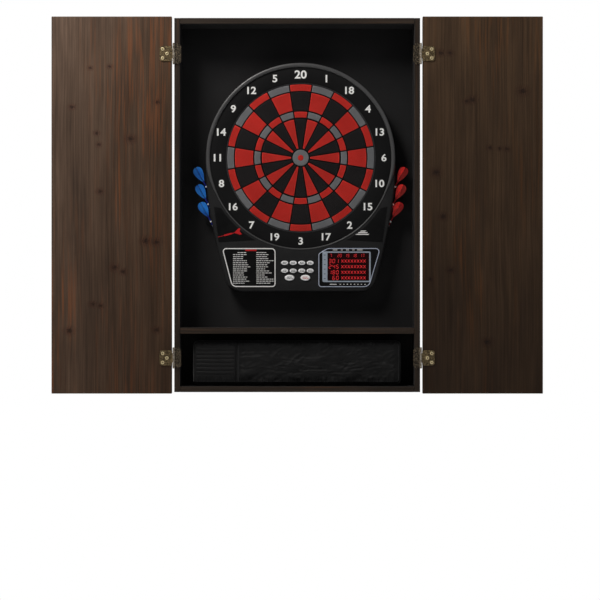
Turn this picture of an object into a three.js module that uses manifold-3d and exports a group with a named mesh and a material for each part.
// An electronic soft-tip dartboard hung inside its two-door wall cabinet.
// Millimetres, +Z up, the front faces -Y. The origin is the centre of the cabinet's rear
// face, which lies on the wall. The doors stand fully open.

import * as THREE from 'three';
import { mergeVertices } from 'three/addons/utils/BufferGeometryUtils.js';
import Module from 'manifold-3d';

const wasm = await Module();
wasm.setup();

// ---------------------------------------------------------------- driving dimensions

const GAP = 0.3; // clearance between neighbouring pieces
const MERGE = 1e-4; // vertices closer than this are one vertex
const SIDES = [['left', -1], ['right', 1]];
const LEVELS = ['upper', 'lower'];

const CABINET = { width: 650, height: 989, depth: 95, board: 15, backPanel: 5 };
const SHELF = { top: -324, thickness: 16 };
const DOOR = { width: 318, height: 997, thickness: 15, edgeToAxis: 5, innerFace: -96.4 };

const HINGE = {
  axisX: 326.5,
  axisY: -98,
  levelZ: { upper: 400, lower: -404 },
  knuckleR: 3,
  boreR: 1.8,
  pinR: 1.5,
  pinHeadR: 2.8,
  pinHeadHeight: 1.7,
  middleKnuckleHalf: 12.7,
  knuckleHalf: 26,
  leafThickness: 1.8,
  doorLeaf: { reach: 37, half: 20, corner: 8 },
  frameLeaf: { reach: 20, half: 28.5, taper: 8 },
};

// The board hangs a little to the right of the cabinet's middle. Its own sizes are
// measured from the centre of the bull.
const BULL = { x: 9.2, z: 129.2 };

const OUTLINE = {
  radius: 253.5,
  sideTop: -45,
  sideControls: [[251, -130], [226, -235]],
  sideEnd: [203, -322],
  cornerControlX: 193.7,
  cornerEndX: 150,
  bottom: -357,
};

// Depths of the board's layers, front to back.
const LAYER = {
  rimFront: -50,
  trimFront: -47.6,
  housingFront: -46,
  housingBack: -24.3,
  numberFront: -45.5,
  numberBack: -42.9,
  ledgeFront: -42.6,
  ledgeBack: -40.2,
  spiderFront: -44,
  spiderBack: -34,
  segmentFront: -43.5,
  segmentWebFront: -33.6,
  segmentBack: -30,
  membraneFront: -28.5,
  membraneBack: -27.7,
  foamFront: -27.4,
  foamBack: -24.4,
  plateFront: -24.1,
  plateBack: -21.6,
  coverFront: -24,
  coverBack: -6,
};
const WALL = 3; // wall thickness of both casings

const RIM = { inner: 242.5, outer: 253.2, lowerOuter: 247, wideAbove: -50 };
const NUMBER_RING = { inner: 200.5, outer: 241.4 };
const HOUSING_HOLE = 241.7;
const LEDGE = { inner: 236, outer: 247 };
const SPIDER_FLANGE = 234.8;

// Scoring face: every ring of segments and the webs between them.
const SECTORS = 20;
const SECTOR = (2 * Math.PI) / SECTORS;
const RING_STEPS = 2 * SECTORS; // facets of a ring, two to a sector
const RIM_STEPS = 44; // facets round the casing's rim
const CASING_CURVE = 11; // facets along each curve of the casing's outline
const KEY_CURVE = 6;
const RADIAL_WEB = 2.6;
const SEGMENT_CLEAR = 0.5;
const WEB_RINGS = [[22.1, 25], [104, 107.5], [124.1, 127], [176.2, 178.5], [196.85, 200.2]];
const SEGMENT_RINGS = [
  ['double_segments', 178.5, 196.85, 'red'],
  ['outer_single_segments', 127, 176.2, 'black'],
  ['triple_segments', 107.5, 124.1, 'red'],
  ['inner_single_segments', 25, 104, 'black'],
];
const OUTER_BULL = { inner: 8, outer: 21.6 };
const INNER_BULL = 7.5;

// Control panel, below the scoring face.
const PANEL = { top: -241.6, bottom: -345.7 };
const CARD = { left: -210.7, right: -67, cornerX: -183.7, corner: 8 };
const BEZEL = { left: 47.5, right: 214, cornerX: 182.8, chamfer: [70.4, -256] };
const SCREEN = { left: 71.6, right: 183, top: -254, bottom: -329 };
const SCREEN_LIP = 2; // the display module reaches this far past its window
const KEY = {
  front: -49,
  flangeFront: -42.7,
  flangeBack: -41.2,
  flange: 1.8,
  clear: 0.4,
  small: [18.7, 11.2],
  large: [25.8, 15.4],
};
const SMALL_KEY_X = [-42.9, -20, 2.9, 25.4];
const SMALL_KEY_Z = [-281.1, -302];
const LARGE_KEY_X = [-30, 12.5];
const LARGE_KEY_Z = -320.7;

const KEYPAD_MAT = { left: -60, right: 43, top: -268, bottom: -334, front: -39.2, back: -36.2 };
const CIRCUIT_BOARD = { left: -62, right: 184, top: -232, bottom: -338, front: -35.6, back: -34 };
const SPEAKER = { x: -130, z: -288, r: 32, magnetR: 17, front: -42.4, rimBack: -38, back: -22 };
const JACK = { x: 150, y: -15, width: 12, depth: 11, height: 14, boreR: 3.1, boreDepth: 10, pinR: 1 };
const RIBBON = { x: -20, width: 30, thickness: 0.8 };

// Darts: measured along the dart from its point, and the places where the barrels enter
// the casing's edge.
const DART = {
  entry: [[246.8, -87.5], [241.6, -134], [234.4, -181]],
  lean: 0.5083, // angle from the vertical
  y: -34,
  tipR: 1.1,
  tipEnd: 25,
  barrelR: 3.4,
  barrelEnd: 79,
  entryAt: 76,
  shaftR: 2,
  shaftEnd: 108,
  flightStart: 102,
  flightEnd: 147,
  flightHalf: 12.5,
  flightThickness: 1,
};
const SOCKET = { outerR: 6.2, boreR: 4, inward: 45, outward: 14 };

// Hanging: keyholes in the rear cover on two screws in the cabinet's back.
const HANGER = {
  spread: 130,
  z: 110,
  headR: 4.5,
  headThickness: 3,
  headBack: -9.4,
  shankR: 2.2,
  shankEnd: -1,
  slotR: 2.8,
  entryR: 5.6,
  drop: 12,
};

const POUCH = { left: -282, right: 281, front: -84, back: -32, bottom: -479.2, top: -356, round: 22 };

// ---------------------------------------------------------------- materials

function finish(color, roughness, metalness = 0) {
  return new THREE.MeshStandardMaterial({ color, roughness, metalness });
}

const FINISH = {
  carcass: finish(0x362e27, 0.5),
  leftWood: finish(0x4a382c, 0.5),
  rightWood: finish(0x302319, 0.5),
  blackPanel: finish(0x141212, 0.8),
  antiqueBrass: finish(0x82704f, 0.4, 0.8),
  darkPlastic: finish(0x2b2b2c, 0.5),
  blackPlastic: finish(0x151515, 0.5),
  spider: finish(0x101010, 0.5),
  red: finish(0xaa2923, 0.5),
  black: finish(0x201d1e, 0.5),
  grey: finish(0x616264, 0.5),
  key: finish(0xbcbcbe, 0.4),
  silver: finish(0x9b9da0, 0.35, 0.6),
  screen: finish(0x2a0808, 0.2),
  board: finish(0x1d4a2a, 0.5),
  film: finish(0xb8ab8a, 0.5),
  foam: finish(0x3a3a3c, 0.9),
  rubber: finish(0x222222, 0.8),
  steel: finish(0x9a9a9a, 0.35, 0.9),
  blueDart: finish(0x103f79, 0.4),
  redDart: finish(0x8a1f1c, 0.4),
  nylon: finish(0x181818, 0.8),
};

// ---------------------------------------------------------------- geometry helpers

// A closed three.js geometry as a solid that can be joined and cut.
function solidOf(geometry) {
  const bare = geometry.clone();
  bare.deleteAttribute('normal');
  bare.deleteAttribute('uv');
  const merged = mergeVertices(bare, MERGE);
  const vertProperties = new Float32Array(merged.attributes.position.array);
  const triVerts = new Uint32Array(merged.index.array);
  return new wasm.Manifold(new wasm.Mesh({ numProp: 3, vertProperties, triVerts }));
}

function geometryOf(solid) {
  const { vertProperties, triVerts } = solid.getMesh();
  const geometry = new THREE.BufferGeometry();
  geometry.setAttribute('position', new THREE.BufferAttribute(vertProperties, 3));
  geometry.setIndex(new THREE.BufferAttribute(triVerts, 1));
  return geometry;
}

function joined(geometries) {
  return geometries.map(solidOf).reduce((whole, piece) => whole.add(piece));
}

function cut(solid, geometries) {
  return geometries.map(solidOf).reduce((whole, piece) => whole.subtract(piece), solid);
}

// A block between two corners.
function block([x0, x1], [y0, y1], [z0, z1]) {
  const geometry = new THREE.BoxGeometry(x1 - x0, y1 - y0, z1 - z0);
  return geometry.translate((x0 + x1) / 2, (y0 + y1) / 2, (z0 + z1) / 2);
}

// An outline in X and Z, given depth from yFront to yBack.
function plate(shape, yFront, yBack, curveSegments = 12) {
  const options = { depth: yBack - yFront, bevelEnabled: false, curveSegments };
  const geometry = new THREE.ExtrudeGeometry(shape, options);
  return geometry.rotateX(Math.PI / 2).translate(0, yBack, 0);
}

// Points round a circle, anticlockwise, the first one on top.
function circlePoints(radius, steps) {
  return Array.from({ length: steps }, (_, i) => {
    const angle = (-2 * Math.PI * i) / steps;
    return new THREE.Vector2(radius * Math.sin(angle), radius * Math.cos(angle));
  });
}

function ring(inner, outer, yFront, yBack, innerSteps, outerSteps = innerSteps) {
  const shape = new THREE.Shape(circlePoints(outer, outerSteps));
  shape.holes.push(new THREE.Path(circlePoints(inner, innerSteps)));
  return plate(shape, yFront, yBack);
}

function disc(radius, yFront, yBack, steps) {
  return plate(new THREE.Shape(circlePoints(radius, steps)), yFront, yBack);
}

function rectangle(left, right, bottom, top) {
  return new THREE.Shape([
    new THREE.Vector2(left, bottom),
    new THREE.Vector2(right, bottom),
    new THREE.Vector2(right, top),
    new THREE.Vector2(left, top),
  ]);
}

function oval(x, z, width, height) {
  const shape = new THREE.Shape();
  shape.absellipse(x, z, width / 2, height / 2, 0, 2 * Math.PI, false);
  return shape;
}

// A round bar along Z, centred on (x, y).
function post(radius, x, y, z0, z1, steps = 10) {
  const geometry = new THREE.CylinderGeometry(radius, radius, z1 - z0, steps);
  return geometry.rotateX(Math.PI / 2).translate(x, y, (z0 + z1) / 2);
}

const model = new THREE.Group();
const board = new THREE.Group();
board.position.set(BULL.x, 0, BULL.z);
model.add(board);

function place(parent, name, geometry, material) {
  const mesh = new THREE.Mesh(geometry, material);
  mesh.name = name;
  parent.add(mesh);
}

// ---------------------------------------------------------------- cabinet and doors

const halfWidth = CABINET.width / 2;
const halfHeight = CABINET.height / 2;
const insideX = halfWidth - CABINET.board;
const insideZ = halfHeight - CABINET.board;

function buildCarcass() {
  const full = [-CABINET.depth, 0];
  const between = [-insideX + GAP, insideX - GAP];
  for (const [side, sign] of SIDES) {
    const span = [sign * halfWidth, sign * insideX].sort((a, b) => a - b);
    const wall = block(span, full, [-halfHeight, halfHeight]);
    place(model, `cabinet_${side}_side`, wall, FINISH.carcass);
  }
  place(model, 'cabinet_top', block(between, full, [insideZ, halfHeight]), FINISH.carcass);
  place(model, 'cabinet_bottom', block(between, full, [-halfHeight, -insideZ]), FINISH.carcass);

  const shelfDepth = [-CABINET.depth, -CABINET.backPanel - GAP];
  const shelfHeight = [SHELF.top - SHELF.thickness, SHELF.top];
  place(model, 'cabinet_shelf', block(between, shelfDepth, shelfHeight), FINISH.carcass);

  const panel = block(between, [-CABINET.backPanel, 0], [-insideZ + GAP, insideZ - GAP]);
  const holes = SIDES.map(([, sign]) => {
    const hole = disc(HANGER.shankR + GAP, -CABINET.backPanel - 1, 1, 12);
    return hole.translate(BULL.x + sign * HANGER.spread, 0, BULL.z + HANGER.z);
  });
  place(model, 'cabinet_back', geometryOf(cut(solidOf(panel), holes)), FINISH.blackPanel);
}

function buildDoors() {
  for (const [side, sign] of SIDES) {
    const inner = HINGE.axisX + DOOR.edgeToAxis;
    const span = [sign * inner, sign * (inner + DOOR.width)].sort((a, b) => a - b);
    const depth = [DOOR.innerFace, DOOR.innerFace + DOOR.thickness];
    const door = block(span, depth, [-DOOR.height / 2, DOOR.height / 2]);
    place(model, `${side}_door`, door, sign < 0 ? FINISH.leftWood : FINISH.rightWood);
  }
}

// The leaf screwed to the door's inner face, with the middle knuckle.
function doorLeaf(sign, z) {
  const { reach, half, corner } = HINGE.doorLeaf;
  const start = HINGE.axisX + HINGE.knuckleR + 2 * GAP;
  const end = HINGE.axisX + reach;
  const shape = new THREE.Shape();
  shape.moveTo(start, -half);
  shape.lineTo(end - corner, -half);
  shape.quadraticCurveTo(end, -half, end, -half + corner);
  shape.lineTo(end, half - corner);
  shape.quadraticCurveTo(end, half, end - corner, half);
  shape.lineTo(start, half);
  const front = DOOR.innerFace - GAP - HINGE.leafThickness;
  const back = DOOR.innerFace - GAP;
  const knuckle = [-HINGE.middleKnuckleHalf, HINGE.middleKnuckleHalf];
  const tongue = block([HINGE.axisX, start + 1], [front, back], knuckle);
  const barrel = post(HINGE.knuckleR, HINGE.axisX, HINGE.axisY, ...knuckle);
  const bore = post(HINGE.boreR, HINGE.axisX, HINGE.axisY, -HINGE.knuckleHalf, HINGE.knuckleHalf);
  const leaf = cut(joined([plate(shape, front, back, 4), tongue, barrel]), [bore]);
  return geometryOf(facing(leaf, sign)).translate(0, 0, z);
}

// The leaf screwed to the cabinet's front edge, with the two outer knuckles.
function frameLeaf(sign, z) {
  const { reach, half, taper } = HINGE.frameLeaf;
  const start = HINGE.axisX - HINGE.knuckleR - GAP;
  const end = HINGE.axisX - reach;
  const shape = new THREE.Shape([
    new THREE.Vector2(end + taper, -half),
    new THREE.Vector2(start, -HINGE.knuckleHalf),
    new THREE.Vector2(start, HINGE.knuckleHalf),
    new THREE.Vector2(end + taper, half),
    new THREE.Vector2(end, half - taper),
    new THREE.Vector2(end, -half + taper),
  ]);
  const back = -CABINET.depth - GAP;
  const front = back - HINGE.leafThickness;
  const pieces = [plate(shape, front, back)];
  for (const end of [-1, 1]) {
    const span = [end * (HINGE.middleKnuckleHalf + 2 * GAP), end * HINGE.knuckleHalf];
    span.sort((a, b) => a - b);
    pieces.push(block([start - 1, HINGE.axisX], [front, back], span));
    pieces.push(post(HINGE.knuckleR, HINGE.axisX, HINGE.axisY, ...span));
  }
  const bore = post(HINGE.boreR, HINGE.axisX, HINGE.axisY, -HINGE.knuckleHalf - 1, HINGE.knuckleHalf + 1);
  return geometryOf(facing(cut(joined(pieces), [bore]), sign)).translate(0, 0, z);
}

// Right-hand pieces are drawn, and the left-hand ones are their mirror image.
function facing(solid, sign) {
  return sign > 0 ? solid : solid.mirror([1, 0, 0]);
}

function hingePin(sign, z) {
  const x = sign * HINGE.axisX;
  const end = HINGE.knuckleHalf + GAP;
  const head = end + HINGE.pinHeadHeight;
  return geometryOf(joined([
    post(HINGE.pinR, x, HINGE.axisY, -end - 1, end + 1),
    post(HINGE.pinHeadR, x, HINGE.axisY, end, head),
    post(HINGE.pinHeadR, x, HINGE.axisY, -head, -end),
  ])).translate(0, 0, z);
}

function buildHinges() {
  for (const [side, sign] of SIDES) {
    for (const level of LEVELS) {
      const z = HINGE.levelZ[level];
      const name = `${side}_${level}_hinge`;
      place(model, `${name}_frame_leaf`, frameLeaf(sign, z), FINISH.antiqueBrass);
      place(model, `${name}_door_leaf`, doorLeaf(sign, z), FINISH.antiqueBrass);
      place(model, `${name}_pin`, hingePin(sign, z), FINISH.antiqueBrass);
    }
  }
}

// ---------------------------------------------------------------- dartboard casing

// The casing's outline: a circle that runs down into a body narrowing to its foot.
// An inset outline is the same shape drawn inside it.
function casingOutline(inset) {
  const radius = OUTLINE.radius - inset;
  const bottom = OUTLINE.bottom + inset;
  const controls = OUTLINE.sideControls.map(([x, z]) => [x - inset, z]);
  const endX = OUTLINE.sideEnd[0] - inset;
  const endZ = OUTLINE.sideEnd[1] + inset / 2;
  const cornerX = OUTLINE.cornerControlX - inset;
  const shape = new THREE.Shape();
  shape.moveTo(-OUTLINE.cornerEndX, bottom);
  shape.lineTo(OUTLINE.cornerEndX, bottom);
  shape.quadraticCurveTo(cornerX, bottom, endX, endZ);
  shape.bezierCurveTo(...controls[1], ...controls[0], radius, OUTLINE.sideTop);
  shape.lineTo(radius, 0);
  shape.absarc(0, 0, radius, 0, Math.PI, false);
  shape.lineTo(-radius, OUTLINE.sideTop);
  shape.bezierCurveTo(-controls[0][0], controls[0][1], -controls[1][0], controls[1][1], -endX, endZ);
  shape.quadraticCurveTo(-cornerX, bottom, -OUTLINE.cornerEndX, bottom);
  return shape;
}


function keySpots() {
  const small = SMALL_KEY_Z.flatMap((z) => SMALL_KEY_X.map((x) => [x, z, ...KEY.small]));
  const large = LARGE_KEY_X.map((x) => [x, LARGE_KEY_Z, ...KEY.large]);
  return [...small, ...large];
}

// A round bar along a dart's axis, from one distance to another along the dart.
function alongDart(sign, entry, radius, from, to, steps) {
  const bar = new THREE.CylinderGeometry(radius, radius, to - from, steps);
  bar.translate(0, (from + to) / 2, 0);
  return poseDart(bar, sign, entry);
}

// Takes a shape drawn along +Y from the dart's point to where that dart is stored.
function poseDart(geometry, sign, [x, z]) {
  geometry.translate(0, -DART.entryAt, 0).rotateX(Math.PI / 2);
  geometry.rotateY(sign * DART.lean);
  return geometry.translate(sign * x, DART.y, z);
}

function dartPlaces() {
  return SIDES.flatMap(([side, sign]) => DART.entry.map((entry, i) => ({ side, sign, entry, i })));
}

function buildFrontHousing() {
  const outer = plate(casingOutline(0), LAYER.housingFront, LAYER.housingBack, CASING_CURVE);
  const cavityFront = LAYER.housingFront + WALL;
  const cavity = plate(casingOutline(WALL), cavityFront, LAYER.housingBack + 1, CASING_CURVE);
  const whole = solidOf(outer);
  const sockets = dartPlaces().map(({ sign, entry }) => {
    const from = DART.entryAt - SOCKET.inward;
    const to = DART.entryAt + SOCKET.outward;
    return solidOf(alongDart(sign, entry, SOCKET.outerR, from, to, 8)).intersect(whole);
  });
  // The raised rim is wide round the top, and narrow where it crosses the lower body.
  const rimDepth = [LAYER.rimFront, LAYER.housingFront + 1];
  const wideRim = ring(RIM.inner, RIM.outer, ...rimDepth, RIM_STEPS);
  const below = block([-RIM.outer, RIM.outer], [LAYER.rimFront - 1, 0], [-2 * RIM.outer, RIM.wideAbove]);
  const narrowRim = ring(RIM.inner, RIM.lowerOuter, ...rimDepth, RIM_STEPS);
  const rim = cut(solidOf(wideRim), [below]).add(solidOf(narrowRim));
  const ledge = ring(LEDGE.inner, LEDGE.outer, LAYER.ledgeFront, LAYER.ledgeBack, RIM_STEPS);
  const joint = ring(HOUSING_HOLE, LEDGE.outer, LAYER.housingFront + 1, LAYER.ledgeBack, RIM_STEPS);
  let housing = cut(solidOf(outer), [cavity, disc(HOUSING_HOLE, LAYER.rimFront, 0, RIM_STEPS)]);
  housing = housing.add(rim).add(joined([ledge, joint]));
  housing = sockets.reduce((shell, socket) => shell.add(socket), housing);

  const bores = dartPlaces().map(({ sign, entry }) => {
    const from = DART.entryAt - SOCKET.inward - 1;
    return alongDart(sign, entry, SOCKET.boreR, from, DART.flightStart + 10, 8);
  });
  const lip = SCREEN_LIP + KEY.clear;
  const window = rectangle(
    SCREEN.left - lip, SCREEN.right + lip, SCREEN.bottom - lip, SCREEN.top + lip);
  const holes = keySpots().map(([x, z, width, height]) => {
    const clear = 2 * KEY.clear;
    const shape = oval(x, z, width + clear, height + clear);
    return plate(shape, LAYER.rimFront, cavityFront + 1, KEY_CURVE);
  });
  housing = cut(housing, [...bores, plate(window, LAYER.rimFront, cavityFront + 1), ...holes]);
  place(board, 'front_housing', geometryOf(housing), FINISH.darkPlastic);
}

function keyhole(sign) {
  const x = sign * HANGER.spread;
  const front = LAYER.coverBack - WALL - 1;
  const back = LAYER.coverBack + 1;
  const slot = rectangle(x - HANGER.slotR, x + HANGER.slotR, HANGER.z - HANGER.drop, HANGER.z);
  return [
    disc(HANGER.slotR, front, back, 16).translate(x, 0, HANGER.z),
    disc(HANGER.entryR, front, back, 16).translate(x, 0, HANGER.z - HANGER.drop),
    plate(slot, front, back),
  ];
}

function buildRearCover() {
  const outer = plate(casingOutline(0), LAYER.coverFront, LAYER.coverBack, CASING_CURVE);
  const floor = LAYER.coverBack - WALL;
  const cavity = plate(casingOutline(WALL), LAYER.coverFront - 1, floor, CASING_CURVE);
  const ribFront = LAYER.plateBack + GAP;
  const wall = ring(196, 199, ribFront, floor + 1, RING_STEPS);
  const ribs = Array.from({ length: 8 }, (_, i) => {
    const rib = block([-1.5, 1.5], [ribFront, floor + 1], [30, 197.5]);
    return rib.rotateY((i + 0.5) * (Math.PI / 4));
  });
  const hub = ring(28, 31, ribFront, floor + 1, 24);
  let cover = cut(solidOf(outer), [cavity]).add(joined([wall, hub, ...ribs]));
  const half = JACK.width / 2 + GAP;
  const jackHole = block(
    [JACK.x - half, JACK.x + half],
    [JACK.y - JACK.depth / 2 - GAP, JACK.y + JACK.depth / 2 + GAP],
    [OUTLINE.bottom - 1, OUTLINE.bottom + WALL + 1]);
  cover = cut(cover, [...keyhole(-1), ...keyhole(1), jackHole]);
  place(board, 'rear_cover', geometryOf(cover), FINISH.blackPlastic);
}

// ---------------------------------------------------------------- scoring face

function buildNumberRing() {
  const { inner, outer } = NUMBER_RING;
  const geometry = ring(inner, outer, LAYER.numberFront, LAYER.numberBack, RING_STEPS, RIM_STEPS);
  place(board, 'number_ring', geometry, FINISH.blackPlastic);
}

function buildSpider() {
  const rings = WEB_RINGS.map(([inner, outer]) => (
    ring(inner, outer, LAYER.spiderFront, LAYER.spiderBack, RING_STEPS)));
  const webDepth = [LAYER.spiderFront, LAYER.spiderBack];
  const webs = Array.from({ length: SECTORS }, (_, i) => {
    const web = block([-RADIAL_WEB / 2, RADIAL_WEB / 2], webDepth, [23.5, 198.5]);
    return web.rotateY((i + 0.5) * SECTOR);
  });
  const flange = ring(198.5, SPIDER_FLANGE, LAYER.ledgeFront, LAYER.ledgeBack, RING_STEPS);
  place(board, 'spider', geometryOf(joined([...rings, ...webs, flange])), FINISH.spider);
}

// The outline of one segment: two arcs, and two sides parallel to the webs beside it.
function segmentShape(inner, outer, turn) {
  const offset = RADIAL_WEB / 2 + SEGMENT_CLEAR;
  const corner = (radius, share) => {
    const half = SECTOR / 2 - Math.asin(offset / radius);
    const angle = turn + share * half;
    return new THREE.Vector2(radius * Math.sin(angle), radius * Math.cos(angle));
  };
  const outerArc = [1, 0, -1].map((share) => corner(outer, share));
  const innerArc = [-1, 0, 1].map((share) => corner(inner, share));
  return new THREE.Shape([...outerArc, ...innerArc]);
}

function buildSegments() {
  for (const [name, webInside, webOutside, colour] of SEGMENT_RINGS) {
    const inner = webInside + SEGMENT_CLEAR;
    const outer = webOutside - SEGMENT_CLEAR;
    const joint = ring(inner, outer, LAYER.segmentWebFront, LAYER.segmentBack, RING_STEPS);
    const pads = Array.from({ length: SECTORS }, (_, i) => (
      plate(segmentShape(inner, outer, i * SECTOR), LAYER.segmentFront, LAYER.segmentBack)));
    place(board, name, geometryOf(joined([joint, ...pads])), FINISH[colour]);
  }
  const { inner, outer } = OUTER_BULL;
  const bullRing = ring(inner, outer, LAYER.segmentFront, LAYER.segmentBack, 32);
  place(board, 'outer_bull', bullRing, FINISH.grey);
  const eye = disc(INNER_BULL, LAYER.segmentFront, LAYER.segmentBack, 32);
  place(board, 'inner_bull', eye, FINISH.red);
}

// The contact film, its foam and the plate that takes the darts' blows.
function buildSensor() {
  const film = disc(199, LAYER.membraneFront, LAYER.membraneBack, RING_STEPS);
  const foam = disc(199, LAYER.foamFront, LAYER.foamBack, RING_STEPS);
  const backing = disc(204, LAYER.plateFront, LAYER.plateBack, RING_STEPS);
  place(board, 'sensor_membrane', film, FINISH.film);
  place(board, 'foam_pad', foam, FINISH.foam);
  place(board, 'backing_plate', backing, FINISH.blackPlastic);
}

// ---------------------------------------------------------------- control panel

function buildPanels() {
  const card = new THREE.Shape();
  card.moveTo(CARD.cornerX + CARD.corner, PANEL.bottom);
  card.lineTo(CARD.right, PANEL.bottom);
  card.lineTo(CARD.right, PANEL.top);
  card.lineTo(CARD.left + CARD.corner, PANEL.top);
  card.quadraticCurveTo(CARD.left, PANEL.top, CARD.left + 1.5, PANEL.top - CARD.corner);
  card.lineTo(CARD.cornerX - 2, PANEL.bottom + CARD.corner);
  card.quadraticCurveTo(CARD.cornerX, PANEL.bottom, CARD.cornerX + CARD.corner, PANEL.bottom);
  const trimBack = LAYER.housingFront - GAP;
  place(board, 'game_card', plate(card, LAYER.trimFront, trimBack, 4), FINISH.blackPlastic);

  const bezel = new THREE.Shape([
    new THREE.Vector2(BEZEL.left, PANEL.bottom),
    new THREE.Vector2(BEZEL.cornerX, PANEL.bottom),
    new THREE.Vector2(BEZEL.right, PANEL.top),
    new THREE.Vector2(BEZEL.chamfer[0], PANEL.top),
    new THREE.Vector2(BEZEL.left, BEZEL.chamfer[1]),
  ]);
  const window = rectangle(SCREEN.left, SCREEN.right, SCREEN.bottom, SCREEN.top);
  bezel.holes.push(new THREE.Path(window.getPoints()));
  place(board, 'display_bezel', plate(bezel, LAYER.trimFront, trimBack), FINISH.silver);

  const module = block(
    [SCREEN.left - SCREEN_LIP, SCREEN.right + SCREEN_LIP],
    [LAYER.housingFront + GAP, CIRCUIT_BOARD.front - GAP],
    [SCREEN.bottom - SCREEN_LIP, SCREEN.top + SCREEN_LIP]);
  place(board, 'display_module', module, FINISH.screen);
}

function buildKeys() {
  keySpots().forEach(([x, z, width, height], i) => {
    const cap = plate(oval(x, z, width, height), KEY.front, KEY.flangeFront + 0.5, KEY_CURVE);
    const rim = oval(x, z, width + 2 * KEY.flange, height + 2 * KEY.flange);
    const flange = plate(rim, KEY.flangeFront, KEY.flangeBack, KEY_CURVE);
    const name = `keypad_button_${String(i + 1).padStart(2, '0')}`;
    place(board, name, geometryOf(joined([cap, flange])), FINISH.key);
  });
}

function buildElectronics() {
  for (const [name, size, material] of [
    ['keypad_mat', KEYPAD_MAT, FINISH.rubber],
    ['control_pcb', CIRCUIT_BOARD, FINISH.board],
  ]) {
    const slab = block([size.left, size.right], [size.front, size.back], [size.bottom, size.top]);
    place(board, name, slab, material);
  }

  const cone = disc(SPEAKER.r, SPEAKER.front, SPEAKER.rimBack, 24);
  const magnet = disc(SPEAKER.magnetR, SPEAKER.rimBack - 1, SPEAKER.back, 24);
  const speaker = geometryOf(joined([cone, magnet])).translate(SPEAKER.x, 0, SPEAKER.z);
  place(board, 'speaker', speaker, FINISH.steel);

  const jackBottom = OUTLINE.bottom + GAP;
  const body = block(
    [JACK.x - JACK.width / 2, JACK.x + JACK.width / 2],
    [JACK.y - JACK.depth / 2, JACK.y + JACK.depth / 2],
    [jackBottom, jackBottom + JACK.height]);
  const bore = post(JACK.boreR, JACK.x, JACK.y, jackBottom - 1, jackBottom + JACK.boreDepth);
  const pinBottom = jackBottom + 1;
  const pin = post(JACK.pinR, JACK.x, JACK.y, pinBottom, jackBottom + JACK.boreDepth + 1, 8);
  const jack = cut(solidOf(body), [bore]).add(solidOf(pin));
  place(board, 'power_jack', geometryOf(jack), FINISH.blackPlastic);
}

// The film's tail runs down behind the circuit board, seen here from the side and given
// its width along X.
function buildRibbon() {
  const top = [LAYER.membraneBack, -199 - GAP];
  const end = [CIRCUIT_BOARD.back + GAP + RIBBON.thickness, CIRCUIT_BOARD.top - 14];
  const bend = 16;
  const shape = new THREE.Shape();
  shape.moveTo(top[0], top[1]);
  shape.bezierCurveTo(top[0], top[1] - bend, end[0], end[1] + bend + 14, end[0], end[1]);
  shape.lineTo(end[0] - RIBBON.thickness, end[1]);
  const inner = [end[0] - RIBBON.thickness, top[0] - RIBBON.thickness];
  shape.bezierCurveTo(inner[0], end[1] + bend + 14, inner[1], top[1] - bend, inner[1], top[1]);
  const options = { depth: RIBBON.width, bevelEnabled: false, curveSegments: 8 };
  const ribbon = new THREE.ExtrudeGeometry(shape, options);
  // The outline was drawn in Y and Z: turn it to face along X.
  const turn = new THREE.Matrix4().makeBasis(
    new THREE.Vector3(0, 1, 0), new THREE.Vector3(0, 0, 1), new THREE.Vector3(1, 0, 0));
  ribbon.applyMatrix4(turn).translate(RIBBON.x, 0, 0);
  place(board, 'ribbon_cable', ribbon, FINISH.film);
}

// ---------------------------------------------------------------- darts

// One of a flight's two crossed sheets, drawn along +Y.
function flightSheet() {
  const { flightStart: start, flightEnd: end, flightHalf: half } = DART;
  const shape = new THREE.Shape();
  shape.moveTo(-1, start);
  shape.bezierCurveTo(-half * 0.4, start + 8, -half, end - 24, -half, end - 13);
  shape.bezierCurveTo(-half, end - 4, -half * 0.5, end, 0, end);
  shape.bezierCurveTo(half * 0.5, end, half, end - 4, half, end - 13);
  shape.bezierCurveTo(half, end - 24, half * 0.4, start + 8, 1, start);
  const options = { depth: DART.flightThickness, bevelEnabled: false, curveSegments: 3 };
  const sheet = new THREE.ExtrudeGeometry(shape, options);
  return sheet.translate(0, 0, -DART.flightThickness / 2);
}

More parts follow.
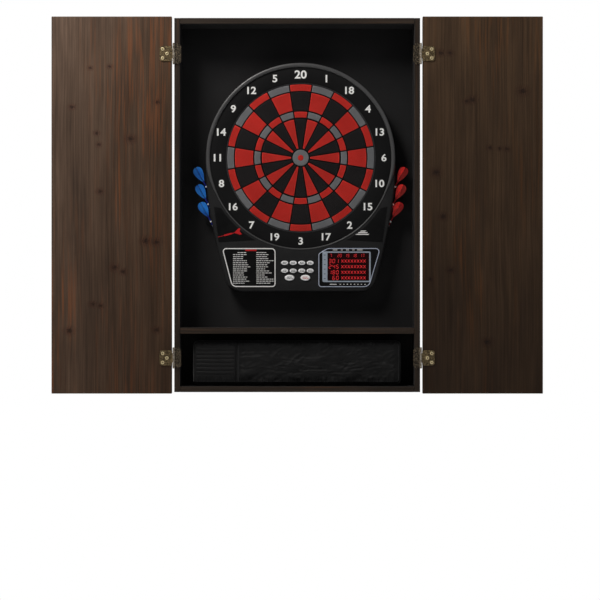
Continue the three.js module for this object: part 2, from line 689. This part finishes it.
function buildDarts() {
  const profile = [
    [0, 0],
    [DART.tipR, 1],
    [DART.tipR, DART.tipEnd],
    [DART.barrelR, DART.tipEnd + 4],
    [DART.barrelR, DART.barrelEnd],
    [DART.shaftR, DART.barrelEnd + 1],
    [DART.shaftR, DART.shaftEnd],
    [0, DART.shaftEnd],
  ].map(([radius, along]) => new THREE.Vector2(radius, along));
  for (const { side, sign, entry, i } of dartPlaces()) {
    const stem = new THREE.LatheGeometry(profile, 8);
    const sheets = [flightSheet(), flightSheet().rotateY(Math.PI / 2)];
    const dart = poseDart(geometryOf(joined([stem, ...sheets])), sign, entry);
    place(board, `${side}_dart_${i + 1}`, dart, sign < 0 ? FINISH.blueDart : FINISH.redDart);
  }
}

// ---------------------------------------------------------------- fasteners and pouch

function buildHangingScrews() {
  for (const [side, sign] of SIDES) {
    const headFront = HANGER.headBack - HANGER.headThickness;
    const screw = geometryOf(joined([
      disc(HANGER.headR, headFront, HANGER.headBack, 16),
      disc(HANGER.shankR, HANGER.headBack - 1, HANGER.shankEnd, 12),
    ]));
    screw.translate(sign * HANGER.spread, 0, HANGER.z);
    place(board, `hanging_screw_${side}`, screw, FINISH.steel);
  }
}

// The soft case is a long block with round ends in its section, seen from the side.
function buildPouch() {
  const { left, right, front, back, bottom, top, round } = POUCH;
  const shape = new THREE.Shape();
  shape.moveTo(front + 6, bottom);
  shape.lineTo(back - 6, bottom);
  shape.quadraticCurveTo(back, bottom, back, bottom + round);
  shape.lineTo(back, top - round);
  shape.quadraticCurveTo(back, top, (front + back) / 2, top);
  shape.quadraticCurveTo(front, top, front, top - round);
  shape.lineTo(front, bottom + round);
  shape.quadraticCurveTo(front, bottom, front + 6, bottom);
  const options = { depth: right - left, bevelEnabled: false, curveSegments: 6 };
  const pouch = new THREE.ExtrudeGeometry(shape, options);
  const turn = new THREE.Matrix4().makeBasis(
    new THREE.Vector3(0, 1, 0), new THREE.Vector3(0, 0, 1), new THREE.Vector3(1, 0, 0));
  pouch.applyMatrix4(turn).translate(left, 0, 0);
  place(model, 'storage_pouch', pouch, FINISH.nylon);
}

buildCarcass();
buildDoors();
buildHinges();
buildFrontHousing();
buildRearCover();
buildNumberRing();
buildSpider();
buildSegments();
buildSensor();
buildPanels();
buildKeys();
buildElectronics();
buildRibbon();
buildDarts();
buildHangingScrews();
buildPouch();

export default model;
